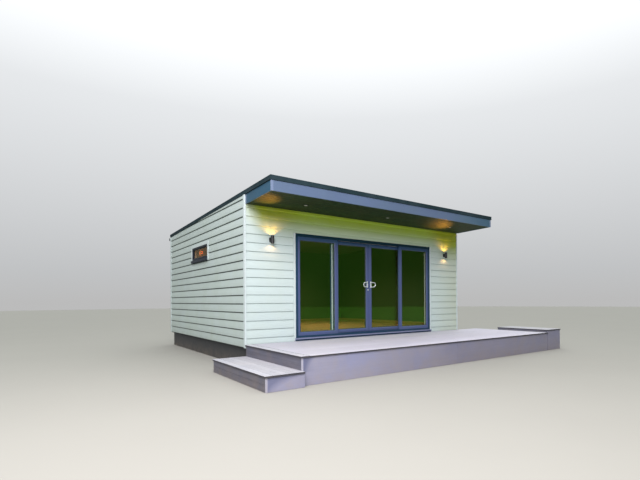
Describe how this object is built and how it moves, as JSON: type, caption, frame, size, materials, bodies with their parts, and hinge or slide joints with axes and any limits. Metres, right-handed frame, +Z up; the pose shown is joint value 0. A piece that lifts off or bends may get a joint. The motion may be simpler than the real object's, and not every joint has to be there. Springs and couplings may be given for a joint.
{
  "type": "garden office pod",
  "caption": "Timber garden office with pale lap boarding, a nearly flat roof, a front canopy, a wide sliding glass door and a raised composite deck with steps.",
  "frame": {"origin": "centre of the footprint's bounding box at the lowest ground level", "axes": "+X to the right along the front, the glass front faces -Y, +Z up"},
  "size_m": [8.044, 7.61, 3.2808],
  "materials": {
    "concrete": "cast concrete, dusty",
    "plinth_board": "black stained boards",
    "frame_timber": "sawn softwood",
    "floor_finish": "satin oak floor boards",
    "wall_lining": "painted lining board, matt dark green-grey",
    "boarding": "painted lap boards, pale sage grey, faint grain",
    "trim": "painted trim, pale grey",
    "ceiling": "painted board, matt dark grey",
    "membrane": "smooth roofing sheet, dull",
    "roof_edge": "semi-gloss dark blue-black",
    "soffit": "dark grooved boards",
    "fascia": "slate blue painted board",
    "gutter": "satin dark grey",
    "door_metal": "powder coated anthracite, satin",
    "cill_metal": "powder coated grey, satin",
    "glass": "clear double glazing",
    "handle_steel": "satin stainless",
    "lamp_body": "matt black",
    "lamp_lens": "frosted warm lens in a satin rim",
    "deck_board": "pale grey composite boards, embossed grain"
  },
  "bodies": {
    "pod": {"foundation_piers": "concrete", "plinth_boards": "plinth_board", "floor_platform": "frame_timber", "floor_boards": "floor_finish", "left_wall": "wall_lining", "right_wall": "wall_lining", "back_wall": "wall_lining", "front_wall_sides": "wall_lining", "front_wall_head": "wall_lining", "left_cladding": "boarding", "right_cladding": "boarding", "back_cladding": "boarding", "front_cladding": "boarding", "corner_trims": "trim", "ceiling_panel": "ceiling", "roof_deck": "frame_timber", "roof_membrane": "membrane", "roof_edge_trim": "roof_edge", "canopy_soffit": "soffit", "front_fascia": "fascia", "canopy_cheeks": "fascia", "eaves_board": "fascia", "rear_gutter": "gutter", "downpipe": "gutter", "door_jambs": "door_metal", "door_head": "door_metal", "door_sill_rail": "door_metal", "door_cill": "cill_metal", "fixed_sashes": "door_metal", "fixed_panes": "glass", "window_frame": "door_metal", "window_pane": "glass", "window_sill": "door_metal", "wall_lights": "lamp_body", "soffit_lights": "lamp_lens", "deck_boards": "deck_board", "deck_joists": "frame_timber", "deck_skirts": "deck_board", "step_treads": "deck_board"},
    "left_leaf": {"left_leaf_frame": "door_metal", "left_leaf_pane": "glass", "left_leaf_handle": "handle_steel"},
    "right_leaf": {"right_leaf_frame": "door_metal", "right_leaf_pane": "glass", "right_leaf_handle": "handle_steel"}
  },
  "joints": [
    {"name": "left_leaf_slide", "type": "slide", "parent": "pod", "child": "left_leaf", "axis": [-1, 0, 0], "range_m": [0, 0.62]},
    {"name": "right_leaf_slide", "type": "slide", "parent": "pod", "child": "right_leaf", "axis": [1, 0, 0], "range_m": [0, 0.62]}
  ]
}
